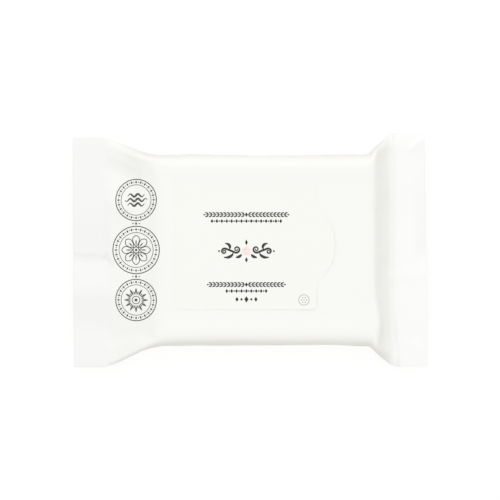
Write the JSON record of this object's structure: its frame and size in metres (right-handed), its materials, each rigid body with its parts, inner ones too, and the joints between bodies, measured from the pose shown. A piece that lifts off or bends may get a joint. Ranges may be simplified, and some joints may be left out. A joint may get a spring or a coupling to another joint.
{
  "type": "wet wipes pack",
  "caption": "Soft flow-wrapped film pack of wet wipes, lying on its back, with a flat seal at each end, a seam along the back and a resealable peel label on the front.",
  "frame": {"origin": "under the middle of the pack, on the surface it lies on", "axes": "+X along the pack from the loosely filled end to the tightly filled end, +Y towards the upper edge of the front, +Z out of the front"},
  "size_m": [0.19, 0.1256, 0.0268],
  "materials": {
    "film": "white packaging film with a satin sheen",
    "label": "white self-adhesive label with a soft sheen"
  },
  "bodies": {
    "root": {"film_pack": "film", "peel_label": "label"}
  },
  "joints": []
}
